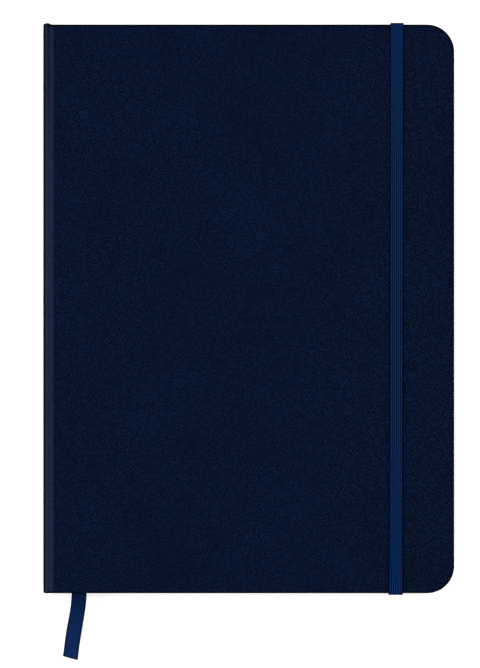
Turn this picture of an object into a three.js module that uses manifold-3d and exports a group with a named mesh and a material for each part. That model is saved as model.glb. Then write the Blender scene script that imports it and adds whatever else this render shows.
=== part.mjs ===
import * as THREE from 'three';
import { mergeVertices } from 'three/addons/utils/BufferGeometryUtils.js';
import Module from 'manifold-3d';

// A sewn, case-bound A5 logbook lying on its back cover. Millimetres, +Z up.
// The spine is towards -X, the fore-edge towards +X and the head towards +Y.

const wasm = await Module();
wasm.setup();

// Driving dimensions
const pageWidth = 148;
const pageHeight = 210;
const pageCornerRadius = 8.3;
const sectionCount = 12;
const sectionThickness = 0.84;
const sectionGap = 0.04;
const flyleafThickness = 0.2;
const pastedownThickness = 0.2;
const boardThickness = 2;
const skinThickness = 0.4;
const glueLine = 0.02;
const leafGap = 0.1;
const headSquare = 2;
const foreSquare = 2.85;
const coverCornerRadius = 10.3;
const jointWidth = 4.7;
const spineStandOff = 3.8;
const turnInWidth = 14;
const pastedownMargin = 3;
const ribbonWidth = 5.7;
const ribbonThickness = 0.3;
const ribbonRoom = 0.44;
const elasticWidth = 4.8;
const elasticThickness = 0.65;
const elasticInset = 21.7;
const elasticGap = 0.05;
const hookDrop = 3.2;
const anchorLength = 13;
const anchorThickness = 0.36;
const mullThickness = 0.3;
const linerThickness = 0.2;
const inlayThickness = 0.8;
const threadThickness = 0.3;
const threadWidth = 0.8;
const threadCount = 5;
const headbandReach = 1.1;
const headbandTongue = 0.2;
const headbandDepth = 7;
const headCapRise = 0.5;
const headCapLength = 3;
const runningGap = 0.3;

// Places worked out from the driving dimensions
const spineX = -73.5;
const foreEdgeX = spineX + pageWidth;
const coverForeX = foreEdgeX + foreSquare;
const coverHalf = pageHeight / 2 + headSquare;
const boardInnerX = spineX + jointWidth;
const elasticX = coverForeX - elasticInset;

const sectionPitch = sectionThickness + sectionGap;
const boardLow = skinThickness + glueLine;
const turnInLow = boardLow + boardThickness + glueLine;
const turnInHigh = turnInLow + skinThickness;
const pastedownLow = turnInHigh + glueLine;
const backFlyleafLow = pastedownLow + pastedownThickness + leafGap;
const blockLow = backFlyleafLow + flyleafThickness + sectionGap;
const blockHigh = blockLow + sectionCount * sectionPitch - sectionGap + ribbonRoom;
const frontFlyleafLow = blockHigh + sectionGap;
const frontPastedownLow = frontFlyleafLow + flyleafThickness + leafGap;
const bookHigh = frontPastedownLow + pastedownThickness + pastedownLow;
const ribbonSection = sectionCount / 2;
const ribbonZ = blockLow + ribbonSection * sectionPitch - sectionGap + (ribbonRoom + sectionGap) / 2;

// Materials
const leather = new THREE.MeshStandardMaterial({ color: 0x0a152b, roughness: 0.55, metalness: 0 });
const greyBoard = new THREE.MeshStandardMaterial({ color: 0x8a8172, roughness: 0.95, metalness: 0 });
const pagePaper = new THREE.MeshStandardMaterial({ color: 0xf2eedf, roughness: 0.9, metalness: 0 });
const endPaper = new THREE.MeshStandardMaterial({ color: 0xe9e3cf, roughness: 0.88, metalness: 0 });
const kraftPaper = new THREE.MeshStandardMaterial({ color: 0xb59468, roughness: 0.95, metalness: 0 });
const openCloth = new THREE.MeshStandardMaterial({ color: 0xe6e2d6, roughness: 1, metalness: 0 });
const bandCloth = new THREE.MeshStandardMaterial({ color: 0x1b2f66, roughness: 0.8, metalness: 0 });
const linenThread = new THREE.MeshStandardMaterial({ color: 0xe8e0c8, roughness: 0.9, metalness: 0 });
const elasticBraid = new THREE.MeshStandardMaterial({ color: 0x062048, roughness: 0.75, metalness: 0 });
const ribbonSatin = new THREE.MeshStandardMaterial({ color: 0x0c2356, roughness: 0.45, metalness: 0 });

const book = new THREE.Group();

// Boolean helpers
function toSolid(geometry) {
  const bare = geometry.clone();
  bare.deleteAttribute('normal');
  bare.deleteAttribute('uv');
  const merged = mergeVertices(bare, 1e-4);
  return new wasm.Manifold(new wasm.Mesh({
    numProp: 3,
    vertProperties: new Float32Array(merged.attributes.position.array),
    triVerts: new Uint32Array(merged.index.array),
  }));
}

function toGeometry(solid) {
  const mesh = solid.getMesh();
  const geometry = new THREE.BufferGeometry();
  geometry.setAttribute('position', new THREE.BufferAttribute(new Float32Array(mesh.vertProperties), 3));
  geometry.setIndex(new THREE.BufferAttribute(new Uint32Array(mesh.triVerts), 1));
  geometry.computeVertexNormals();
  return geometry;
}

function addPiece(name, geometry, material) {
  const piece = new THREE.Mesh(geometry, material);
  piece.name = name;
  book.add(piece);
  return piece;
}

// Shape helpers
function slab(x0, x1, y0, y1, z0, z1) {
  const geometry = new THREE.BoxGeometry(x1 - x0, y1 - y0, z1 - z0);
  geometry.translate((x0 + x1) / 2, (y0 + y1) / 2, (z0 + z1) / 2);
  return geometry;
}

// A leaf outline in plan: square at the spine, rounded at the two fore-edge corners
function leafOutline(x0, x1, halfHeight, radius) {
  const outline = new THREE.Shape();
  outline.moveTo(x0, -halfHeight);
  outline.lineTo(x1 - radius, -halfHeight);
  outline.absarc(x1 - radius, -halfHeight + radius, radius, -Math.PI / 2, 0, false);
  outline.lineTo(x1, halfHeight - radius);
  outline.absarc(x1 - radius, halfHeight - radius, radius, 0, Math.PI / 2, false);
  outline.lineTo(x0, halfHeight);
  outline.closePath();
  return outline;
}

function leafPlate(x0, x1, halfHeight, radius, z0, z1) {
  const outline = leafOutline(x0, x1, halfHeight, radius);
  const geometry = new THREE.ExtrudeGeometry(outline, { depth: z1 - z0, bevelEnabled: false, curveSegments: 10 });
  geometry.translate(0, 0, z0);
  return geometry;
}

// A profile drawn in x and z, pushed along y
function alongY(outline, y0, y1, segments) {
  const geometry = new THREE.ExtrudeGeometry(outline, { depth: y1 - y0, bevelEnabled: false, curveSegments: segments });
  geometry.rotateX(Math.PI / 2);
  geometry.translate(0, y1, 0);
  return geometry;
}

// Turns a piece of the back cover over into its twin on the front cover
function turnedOver(solid) {
  return solid.mirror([0, 0, 1]).translate([0, 0, bookHigh]);
}

// Cover boards, their leather and their pastedowns
function boardGeometry() {
  return leafPlate(boardInnerX, coverForeX - skinThickness - glueLine, coverHalf - skinThickness - glueLine,
    coverCornerRadius - skinThickness - glueLine, boardLow, boardLow + boardThickness);
}

// The leather wraps the board's outer face and three edges and turns in over its inner face
function coverSkin() {
  const inset = skinThickness;
  const whole = toSolid(leafPlate(boardInnerX, coverForeX, coverHalf, coverCornerRadius, 0, turnInHigh));
  const boardRoom = toSolid(leafPlate(boardInnerX - 1, coverForeX - inset, coverHalf - inset,
    coverCornerRadius - inset, skinThickness, turnInLow));
  const window = toSolid(leafPlate(boardInnerX - 1, coverForeX - turnInWidth, coverHalf - turnInWidth,
    1, turnInLow - 1, turnInHigh + 1));
  return whole.subtract(boardRoom).subtract(window);
}

// The turn-in is notched where each end of the elastic is glued down on the board
function anchorNotch(side) {
  const halfWidth = elasticWidth / 2 + glueLine;
  const inner = coverHalf - turnInWidth - 1;
  const outer = coverHalf + 1;
  return toSolid(slab(elasticX - halfWidth, elasticX + halfWidth, Math.min(side * inner, side * outer),
    Math.max(side * inner, side * outer), turnInLow, turnInHigh + 1));
}

function pastedownGeometry() {
  return leafPlate(spineX + 1, coverForeX - pastedownMargin, coverHalf - pastedownMargin,
    coverCornerRadius - pastedownMargin, pastedownLow, pastedownLow + pastedownThickness);
}

function addCovers() {
  const board = toSolid(boardGeometry());
  const skin = coverSkin();
  const pastedown = toSolid(pastedownGeometry());
  const notchedSkin = skin.subtract(anchorNotch(1)).subtract(anchorNotch(-1));
  addPiece('back_board', toGeometry(board), greyBoard);
  addPiece('back_skin', toGeometry(notchedSkin), leather);
  addPiece('back_pastedown', toGeometry(pastedown), endPaper);
  addPiece('front_board', toGeometry(turnedOver(board)), greyBoard);
  addPiece('front_skin', toGeometry(turnedOver(skin)), leather);
  addPiece('front_pastedown', toGeometry(turnedOver(pastedown)), endPaper);
}

// Flyleaves: the loose half of each endpaper
function addFlyleaves() {
  const start = spineX + 0.1;
  for (const [name, low] of [['back_flyleaf', backFlyleafLow], ['front_flyleaf', frontFlyleafLow]]) {
    const leaf = leafPlate(start, foreEdgeX, pageHeight / 2, pageCornerRadius, low, low + flyleafThickness);
    addPiece(name, leaf, endPaper);
  }
}

// Page sections, folded round at the spine; section 1 is under the front cover
function sectionGeometry() {
  const radius = sectionThickness / 2;
  const plan = toSolid(leafPlate(spineX, foreEdgeX, pageHeight / 2, pageCornerRadius, -radius, radius));
  const fold = new THREE.Shape();
  fold.moveTo(foreEdgeX + 1, -radius);
  fold.lineTo(foreEdgeX + 1, radius);
  fold.lineTo(spineX + radius, radius);
  fold.absarc(spineX + radius, 0, radius, Math.PI / 2, Math.PI * 1.5, false);
  fold.closePath();
  const profile = toSolid(alongY(fold, -pageHeight, pageHeight, 8));
  return toGeometry(plan.intersect(profile));
}

function addSections() {
  const section = sectionGeometry();
  for (let number = 1; number <= sectionCount; number += 1) {
    const fromBack = sectionCount - number;
    const aboveRibbon = fromBack >= ribbonSection ? ribbonRoom : 0;
    const name = `section_${String(number).padStart(2, '0')}`;
    const piece = addPiece(name, section.clone(), pagePaper);
    piece.position.z = blockLow + sectionThickness / 2 + fromBack * sectionPitch + aboveRibbon;
  }
}

// Spine: linking threads, open cloth, paper liner, then the hollow, the inlay and the leather
const threadX = spineX - glueLine - threadThickness;
const mullX = threadX - glueLine - mullThickness;
const linerX = mullX - glueLine - linerThickness;
const spineOuterX = spineX - spineStandOff;
const inlayX = spineOuterX + skinThickness + glueLine;
const rollLow = spineStandOff;
const rollHigh = bookHigh - spineStandOff;

function addSpine() {
  const clothHalf = pageHeight / 2 - 12;
  const linerHalf = pageHeight / 2 - 4;
  const blockTop = blockHigh - sectionGap;
  addPiece('spine_mull', slab(mullX, mullX + mullThickness, -clothHalf, clothHalf, blockLow, blockTop), openCloth);
  addPiece('spine_liner', slab(linerX, linerX + linerThickness, -linerHalf, linerHalf, blockLow, blockTop), kraftPaper);
  const spacing = (2 * clothHalf - 20) / (threadCount - 1);
  for (let number = 1; number <= threadCount; number += 1) {
    const y = -clothHalf + 10 + (number - 1) * spacing;
    const thread = slab(threadX, threadX + threadThickness, y - threadWidth / 2, y + threadWidth / 2,
      blockLow + sectionThickness / 2, blockTop - sectionThickness / 2);
    addPiece(`sewing_thread_${number}`, thread, linenThread);
  }
  const inlayHalf = pageHeight / 2 + headSquare - 1;
  addPiece('spine_inlay', slab(inlayX, inlayX + inlayThickness, -inlayHalf, inlayHalf, rollLow + runningGap,
    rollHigh - runningGap), greyBoard);
  addSpineSkin();
}

// The spine leather is turned in over the inlay at the head and the tail
function addSpineSkin() {
  const turnIn = 10;
  const depth = skinThickness * 2 + inlayThickness + glueLine * 2;
  const whole = slab(spineOuterX, spineOuterX + depth, -coverHalf, coverHalf, rollLow + glueLine, rollHigh - glueLine);
  const room = slab(spineOuterX + skinThickness, spineOuterX + skinThickness + inlayThickness + glueLine * 2,
    -coverHalf + skinThickness, coverHalf - skinThickness, 0, bookHigh);
  const open = slab(spineOuterX + skinThickness, spineOuterX + depth + 1, -coverHalf + turnIn, coverHalf - turnIn,
    0, bookHigh);
  const capInset = (rollHigh - rollLow) / 8;
  const cap = slab(spineOuterX, spineOuterX + depth, coverHalf - headCapLength, coverHalf + headCapRise,
    rollLow + capInset, rollHigh - capInset);
  const capRoom = slab(spineOuterX + skinThickness, spineOuterX + depth + 1, coverHalf - headCapLength - 1,
    coverHalf - skinThickness, 0, bookHigh);
  const capSolid = toSolid(cap).subtract(toSolid(capRoom));
  const skin = toSolid(whole).subtract(toSolid(room)).subtract(toSolid(open)).add(capSolid);
  addPiece('spine_skin', toGeometry(skin), leather);
}

// Headbands: a round bead over the ends of the section folds, with a tongue glued down behind them
function addHeadbands() {
  const beadRadius = headbandReach / 2;
  const tongueX = spineX - glueLine - headbandTongue;
  const beadX = tongueX + beadRadius;
  const endY = pageHeight / 2;
  for (const [name, side] of [['head_band', 1], ['tail_band', -1]]) {
    const bead = new THREE.CylinderGeometry(beadRadius, beadRadius, blockHigh - blockLow, 14);
    bead.rotateX(Math.PI / 2);
    bead.translate(beadX, side * (endY + glueLine + beadRadius), (blockLow + blockHigh) / 2);
    const y0 = side * (endY - headbandDepth);
    const y1 = side * (endY + glueLine + beadRadius);
    const tongue = slab(tongueX, tongueX + headbandTongue, Math.min(y0, y1), Math.max(y0, y1), blockLow, blockHigh);
    addPiece(name, toGeometry(toSolid(bead).add(toSolid(tongue))), bandCloth);
  }
}

// Joint leather: a quarter-round roll from the spine, then flat to the edge of the board
function jointOutline() {
  const outer = spineStandOff;
  const inner = outer - skinThickness;
  const outline = new THREE.Shape();
  outline.moveTo(boardInnerX - glueLine, 0);
  outline.lineTo(boardInnerX - glueLine, skinThickness);
  outline.lineTo(spineX, skinThickness);
  outline.absarc(spineX, outer, inner, -Math.PI / 2, -Math.PI, true);
  outline.lineTo(spineX - outer, outer);
  outline.absarc(spineX, outer, outer, -Math.PI, -Math.PI / 2, false);
  outline.closePath();
  return outline;
}

function addJointSkins() {
  const back = toSolid(alongY(jointOutline(), -coverHalf, coverHalf, 10));
  addPiece('back_joint_skin', toGeometry(back), leather);
  addPiece('front_joint_skin', toGeometry(turnedOver(back)), leather);
}

// Elastic: one braid from the back cover, round the head and tail, over the front cover
const legInner = coverHalf + elasticGap;
const legOuter = legInner + elasticThickness;
const strandLow = bookHigh + elasticGap;
const strandHigh = strandLow + elasticThickness;
const hookLow = bookHigh - hookDrop;

function addElastic() {
  const x0 = elasticX - elasticWidth / 2;
  const x1 = elasticX + elasticWidth / 2;
  const across = toSolid(slab(x0, x1, -legOuter, legOuter, hookLow, strandHigh));
  const bookRoom = toSolid(slab(x0 - 1, x1 + 1, -legInner, legInner, hookLow - 1, strandLow));
  addPiece('elastic_strand', toGeometry(across.subtract(bookRoom)), elasticBraid);
  for (const [end, side] of [['head', 1], ['tail', -1]]) {
    const y0 = Math.min(side * legInner, side * legOuter);
    const y1 = Math.max(side * legInner, side * legOuter);
    const legLow = turnInLow + glueLine;
    addPiece(`elastic_${end}_leg`, slab(x0, x1, y0, y1, legLow, hookLow - glueLine), elasticBraid);
    const in0 = side * (coverHalf - anchorLength);
    const in1 = side * (legInner - glueLine);
    addPiece(`elastic_${end}_anchor`, slab(x0, x1, Math.min(in0, in1), Math.max(in0, in1), legLow,
      legLow + anchorThickness), elasticBraid);
  }
}

// Ribbon marker: glued in at the head of the spine, lying slantwise between two sections,
// then out at the tail, down and along the table. Points are its centre line.
const ribbonPoints = [
  [-70, 103, ribbonZ], [-69.8, 90, ribbonZ], [-69.4, 70, ribbonZ], [-68.9, 50, ribbonZ],
  [-68.3, 30, ribbonZ], [-67.6, 10, ribbonZ], [-66.8, -10, ribbonZ], [-66, -30, ribbonZ],
  [-65.2, -50, ribbonZ], [-64.5, -70, ribbonZ], [-64, -88, ribbonZ], [-63.8, -98, ribbonZ],
  [-63.75, -104.5, ribbonZ - 0.02], [-63.85, -108, ribbonZ - 0.5], [-64.1, -111.2, ribbonZ - 1.6],
  [-64.5, -114.2, ribbonZ - 3.2], [-65, -117, ribbonZ - 4.9], [-65.5, -119.8, ribbonZ - 6.4],
  [-66, -122.6, 1.4], [-66.45, -125.6, 0.66], [-66.85, -128.7, 0.36], [-67.2, -131.7, 0.3],
];

function addRibbon() {
  const section = new THREE.Shape();
  const halfWidth = ribbonWidth / 2;
  const halfThickness = ribbonThickness / 2;
  const chamfer = halfThickness / 2;
  section.moveTo(-halfThickness, -halfWidth + chamfer);
  section.lineTo(-chamfer, -halfWidth);
  section.lineTo(chamfer, -halfWidth);
  section.lineTo(halfThickness, -halfWidth + chamfer);
  section.lineTo(halfThickness, halfWidth - chamfer);
  section.lineTo(chamfer, halfWidth);
  section.lineTo(-chamfer, halfWidth);
  section.lineTo(-halfThickness, halfWidth - chamfer);
  section.closePath();
  const route = new THREE.CatmullRomCurve3(ribbonPoints.map((point) => new THREE.Vector3(...point)));
  const ribbon = new THREE.ExtrudeGeometry(section, { steps: 70, extrudePath: route, bevelEnabled: false });
  addPiece('ribbon_marker', ribbon, ribbonSatin);
}

addCovers();
addFlyleaves();
addSections();
addSpine();
addHeadbands();
addJointSkins();
addElastic();
addRibbon();

// The frame's origin is under the middle of the book
book.position.x = -(spineOuterX + coverForeX) / 2;
book.updateMatrixWorld(true);

export default book;
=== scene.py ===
import math
import random

import bmesh
import bpy
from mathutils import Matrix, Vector


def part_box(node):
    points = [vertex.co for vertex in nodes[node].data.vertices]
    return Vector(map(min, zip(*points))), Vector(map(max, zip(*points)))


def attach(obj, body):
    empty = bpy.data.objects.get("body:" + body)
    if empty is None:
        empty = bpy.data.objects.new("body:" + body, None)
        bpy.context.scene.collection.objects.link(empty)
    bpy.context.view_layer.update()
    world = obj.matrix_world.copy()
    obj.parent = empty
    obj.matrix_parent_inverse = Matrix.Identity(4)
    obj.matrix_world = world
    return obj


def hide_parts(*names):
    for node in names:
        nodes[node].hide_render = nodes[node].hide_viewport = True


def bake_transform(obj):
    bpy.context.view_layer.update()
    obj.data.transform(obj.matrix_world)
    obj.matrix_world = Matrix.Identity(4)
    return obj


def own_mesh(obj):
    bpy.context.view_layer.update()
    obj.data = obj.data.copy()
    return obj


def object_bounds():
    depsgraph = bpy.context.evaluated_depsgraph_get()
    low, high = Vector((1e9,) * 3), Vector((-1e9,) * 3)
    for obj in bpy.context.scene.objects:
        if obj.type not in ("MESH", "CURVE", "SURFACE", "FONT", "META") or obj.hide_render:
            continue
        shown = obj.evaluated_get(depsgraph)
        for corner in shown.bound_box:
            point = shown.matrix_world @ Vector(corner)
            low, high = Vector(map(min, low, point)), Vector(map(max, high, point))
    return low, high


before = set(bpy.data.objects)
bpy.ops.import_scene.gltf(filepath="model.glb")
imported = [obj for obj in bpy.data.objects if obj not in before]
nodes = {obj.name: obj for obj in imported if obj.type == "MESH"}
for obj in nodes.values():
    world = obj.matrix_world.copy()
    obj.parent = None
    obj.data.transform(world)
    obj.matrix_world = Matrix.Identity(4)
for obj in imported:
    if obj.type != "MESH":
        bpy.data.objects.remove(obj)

cadLow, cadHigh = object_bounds()
mm = 0.001
tiny = 0.02 * mm

# Places read from the frame
frontSkinLow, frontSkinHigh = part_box("front_skin")
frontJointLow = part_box("front_joint_skin")[0]
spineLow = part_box("spine_skin")[0]
sectionLow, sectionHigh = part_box("section_01")
elasticLow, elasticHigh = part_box("elastic_strand")
coverTop = frontSkinHigh.z
coverHalf = frontSkinHigh.y
foreX = frontSkinHigh.x
boardX = frontSkinLow.x
turnInZ = frontSkinLow.z
rollX = sectionLow.x
rollRadius = rollX - frontJointLow.x
rollZ = coverTop - rollRadius
bookMiddle = coverTop / 2


def deselectAll():
    if bpy.context.object and bpy.context.object.mode != "OBJECT":
        bpy.ops.object.mode_set(mode="OBJECT")
    bpy.ops.object.select_all(action="DESELECT")


def makeActive(piece):
    deselectAll()
    piece.select_set(True)
    bpy.context.view_layer.objects.active = piece


def namePiece(name):
    piece = bpy.context.object
    piece.name = name
    piece.data.name = name
    return piece


def placeInMesh(piece):
    makeActive(piece)
    bpy.ops.object.transform_apply(location=True, rotation=True, scale=True)


def addPlane(name, centre, width, depth):
    deselectAll()
    bpy.ops.mesh.primitive_plane_add(size=1, location=centre)
    piece = namePiece(name)
    piece.scale = (width, depth, 1)
    placeInMesh(piece)
    return piece


def addBlock(name, low, high):
    deselectAll()
    low, high = Vector(low), Vector(high)
    bpy.ops.mesh.primitive_cube_add(size=1, location=(low + high) / 2)
    piece = namePiece(name)
    piece.scale = high - low
    placeInMesh(piece)
    return piece


def pick(piece, kind, test):
    # selects the verts, edges or faces whose place passes the test, and says how many
    makeActive(piece)
    bpy.ops.object.mode_set(mode="EDIT")
    bpy.ops.mesh.select_mode(type=kind)
    bpy.ops.mesh.select_all(action="DESELECT")
    mesh = bmesh.from_edit_mesh(piece.data)
    items = {"VERT": mesh.verts, "EDGE": mesh.edges, "FACE": mesh.faces}[kind]
    count = 0
    for item in items:
        if test(item):
            item.select_set(True)
            count += 1
    mesh.select_flush_mode()
    bmesh.update_edit_mesh(piece.data)
    return count


def pickAll(piece):
    makeActive(piece)
    bpy.ops.object.mode_set(mode="EDIT")
    bpy.ops.mesh.select_all(action="SELECT")


def allVerts(edge, test):
    return all(test(vert.co) for vert in edge.verts)


def cutAcross(piece, places, normal=(1, 0, 0)):
    for place in places:
        pickAll(piece)
        point = Vector(normal) * place
        bpy.ops.mesh.bisect(plane_co=point, plane_no=normal)


def cutPart(piece, test, places, normal):
    # cuts only the faces whose middles pass the test
    for place in places:
        pick(piece, "FACE", lambda face: test(face.calc_center_median()))
        bpy.ops.mesh.bisect(plane_co=Vector(normal) * place, plane_no=normal)


def smoothStep(value, low, high):
    share = min(max((value - low) / (high - low), 0.0), 1.0)
    return share * share * (3 - 2 * share)


def paintShade(piece, shadeAt):
    layer = piece.data.attributes.new("shade", "FLOAT", "POINT")
    for index, vert in enumerate(piece.data.vertices):
        layer.data[index].value = shadeAt(vert.co)


def tidyNormals(piece, merge=0.001 * mm):
    pickAll(piece)
    bpy.ops.mesh.remove_doubles(threshold=merge)
    bpy.ops.mesh.normals_make_consistent(inside=False)
    bpy.ops.object.mode_set(mode="OBJECT")


def finishWith(piece, kind, **settings):
    makeActive(piece)
    modifier = piece.modifiers.new(kind.title(), kind)
    for key, value in settings.items():
        setattr(modifier, key, value)
    bpy.ops.object.modifier_apply(modifier=modifier.name)


def smoothByAngle(piece, degrees=35):
    makeActive(piece)
    bpy.ops.object.shade_smooth_by_angle(angle=math.radians(degrees))


def copyPiece(piece, name, shift=(0, 0, 0)):
    makeActive(piece)
    bpy.ops.object.duplicate()
    copy = namePiece(name)
    copy.location = shift
    placeInMesh(copy)
    return copy


def joinPieces(pieces, name):
    makeActive(pieces[0])
    for piece in pieces[1:]:
        piece.select_set(True)
    bpy.ops.object.join()
    return namePiece(name)


def turnOver(piece, name):
    # the same piece on the other cover, mirrored about the middle of the book
    copy = copyPiece(piece, name)
    for vert in copy.data.vertices:
        vert.co.z = 2 * bookMiddle - vert.co.z
    pickAll(copy)
    bpy.ops.mesh.flip_normals()
    bpy.ops.object.mode_set(mode="OBJECT")
    return copy


def layOutFlat(piece, name="flat"):
    # a map in millimetres of the piece at rest, so that a printed or woven pattern follows it
    layer = piece.data.uv_layers.new(name=name)
    for loop in piece.data.loops:
        place = piece.data.vertices[loop.vertex_index].co
        layer.data[loop.index].uv = (place.x / mm, place.y / mm)


def dress(piece, material):
    piece.data.materials.clear()
    piece.data.materials.append(material)


class Surface:
    def __init__(self, name):
        self.material = bpy.data.materials.new(name)
        self.material.use_nodes = True
        self.tree = self.material.node_tree
        self.shader = self.tree.nodes["Principled BSDF"]
        self.places = self.tree.nodes.new("ShaderNodeTexCoord")

    def node(self, kind, settings=None, **inputs):
        made = self.tree.nodes.new(kind)
        for key, value in (settings or {}).items():
            setattr(made, key, value)
        for key, value in inputs.items():
            byNumber = key[0] == "i" and key[1:].isdigit()
            slot = made.inputs[int(key[1:])] if byNumber else made.inputs[key]
            self.feed(slot, value)
        return made

    def feed(self, slot, value):
        if isinstance(value, bpy.types.NodeSocket):
            self.tree.links.new(value, slot)
        else:
            slot.default_value = value

    def math(self, operation, a, b=0.0, clamp=False):
        made = self.node("ShaderNodeMath", {"operation": operation, "use_clamp": clamp}, i0=a, i1=b)
        return made.outputs[0]

    def stretched(self, source, scale, turn=0.0):
        made = self.node("ShaderNodeMapping", Vector=source)
        made.inputs["Scale"].default_value = scale
        made.inputs["Rotation"].default_value = (0, 0, math.radians(turn))
        return made.outputs[0]

    def noise(self, vector, scale, detail=2.0, rough=0.5):
        made = self.node("ShaderNodeTexNoise", Vector=vector, Scale=scale, Detail=detail, Roughness=rough)
        return made.outputs["Fac"]

    def ramp(self, factor, stops):
        made = self.node("ShaderNodeValToRGB", Fac=factor)
        elements = made.color_ramp.elements
        elements[0].position, elements[0].color = stops[0][0], (*stops[0][1], 1)
        elements[1].position, elements[1].color = stops[-1][0], (*stops[-1][1], 1)
        for position, colour in stops[1:-1]:
            extra = elements.new(position)
            extra.color = (*colour, 1)
        return made.outputs["Color"]

    def spread(self, value, low, high):
        made = self.node("ShaderNodeMapRange", Value=value)
        made.inputs["To Min"].default_value = low
        made.inputs["To Max"].default_value = high
        return made.outputs["Result"]

    def mixed(self, factor, a, b, blend="MIX"):
        made = self.node("ShaderNodeMix", {"data_type": "RGBA", "blend_type": blend})
        self.feed(made.inputs["Factor"], factor)
        self.feed(made.inputs["A"], a)
        self.feed(made.inputs["B"], b)
        return made.outputs["Result"]

    def bumped(self, height, distance, strength=1.0, under=None):
        made = self.node("ShaderNodeBump", Height=height, Distance=distance, Strength=strength)
        if under is not None:
            self.feed(made.inputs["Normal"], under)
        return made.outputs["Normal"]

    def finish(self, **sockets):
        for key, value in sockets.items():
            self.feed(self.shader.inputs[key.replace("_", " ")], value)
        return self.material


def colour(red, green, blue):
    return (red, green, blue, 1.0)


# Camera, light and table
stageSettings = {
    "lens": 1200.0,
    "fieldHeight": 251.33 * mm,
    "aim": (-3.26 * mm, -9.45 * mm),
    "tableTone": 0.93,
    "tableGlow": 0.32,
    "worldLight": 0.10,
    "sideLight": 17.0,
    "lampReach": 1.25,
    "lampHeight": 1.0,
}


def setStage():
    settings = stageSettings
    scene = bpy.context.scene
    scene.view_settings.view_transform = "Standard"
    cameraData = bpy.data.cameras.new("camera")
    cameraData.sensor_fit = "VERTICAL"
    cameraData.sensor_height = 36.0
    cameraData.lens = settings["lens"]
    camera = bpy.data.objects.new("camera", cameraData)
    scene.collection.objects.link(camera)
    height = settings["fieldHeight"] * settings["lens"] / cameraData.sensor_height
    camera.location = (settings["aim"][0], settings["aim"][1], coverTop + height)
    cameraData.clip_end = 50.0
    scene.camera = camera

    table = addPlane("table", (0, 0, -0.2 * mm), 6, 6)
    surface = Surface("pale table")
    drift = surface.noise(surface.places.outputs["Object"], 3.0)
    tone = settings["tableTone"]
    tint = surface.ramp(drift, [(0.3, (tone, tone, tone)), (0.7, (tone * 1.01, tone * 1.01, tone * 1.01))])
    glow = settings["tableGlow"]
    dress(table, surface.finish(
        Base_Color=tint, Roughness=0.9, Emission_Color=tint, Emission_Strength=glow))

    world = bpy.data.worlds.new("studio")
    world.use_nodes = True
    world.node_tree.nodes["Background"].inputs["Color"].default_value = colour(0.97, 0.98, 1.0)
    world.node_tree.nodes["Background"].inputs["Strength"].default_value = settings["worldLight"]
    scene.world = world
    reach, height, power = settings["lampReach"], settings["lampHeight"], settings["sideLight"]
    addSoftbox("soft left", (-reach, 0.15, height), 1.0, power * 1.45)
    addSoftbox("soft right", (reach, -0.15, height), 1.0, power * 0.85)
    addSoftbox("soft head", (0.15, reach, height), 1.0, power)
    addSoftbox("soft tail", (-0.15, -reach, height), 1.0, power * 0.7)


def addSoftbox(name, place, size, power):
    light = bpy.data.lights.new(name, "AREA")
    light.shape = "SQUARE"
    light.size = size
    light.energy = power
    lamp = bpy.data.objects.new(name, light)
    lamp.location = place
    lamp.rotation_euler = (-Vector(place)).to_track_quat("-Z", "Y").to_euler()
    bpy.context.scene.collection.objects.link(lamp)


setStage()
print("stage set")

# Finishes
leatherSettings = {
    "deep": (0.0001, 0.0004, 0.0024),
    "body": (0.0008, 0.0034, 0.0150),
    "peak": (0.0034, 0.0110, 0.0370),
    # the fourth colour is the painted highlight on the spine shoulders, the fifth the painted shade along
    # the rims
    "shoulderHighlight": (0.0115, 0.0160, 0.0430),
    "edge": (0.0002, 0.0004, 0.0016),
    "grainSize": 0.80 * mm,
    "grainEvenness": 0.42,
    "grainSlant": 32,
    "grainDepth": 0.07 * mm,
    "roughness": (0.58, 0.72),
    "refraction": 1.09,
}


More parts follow.
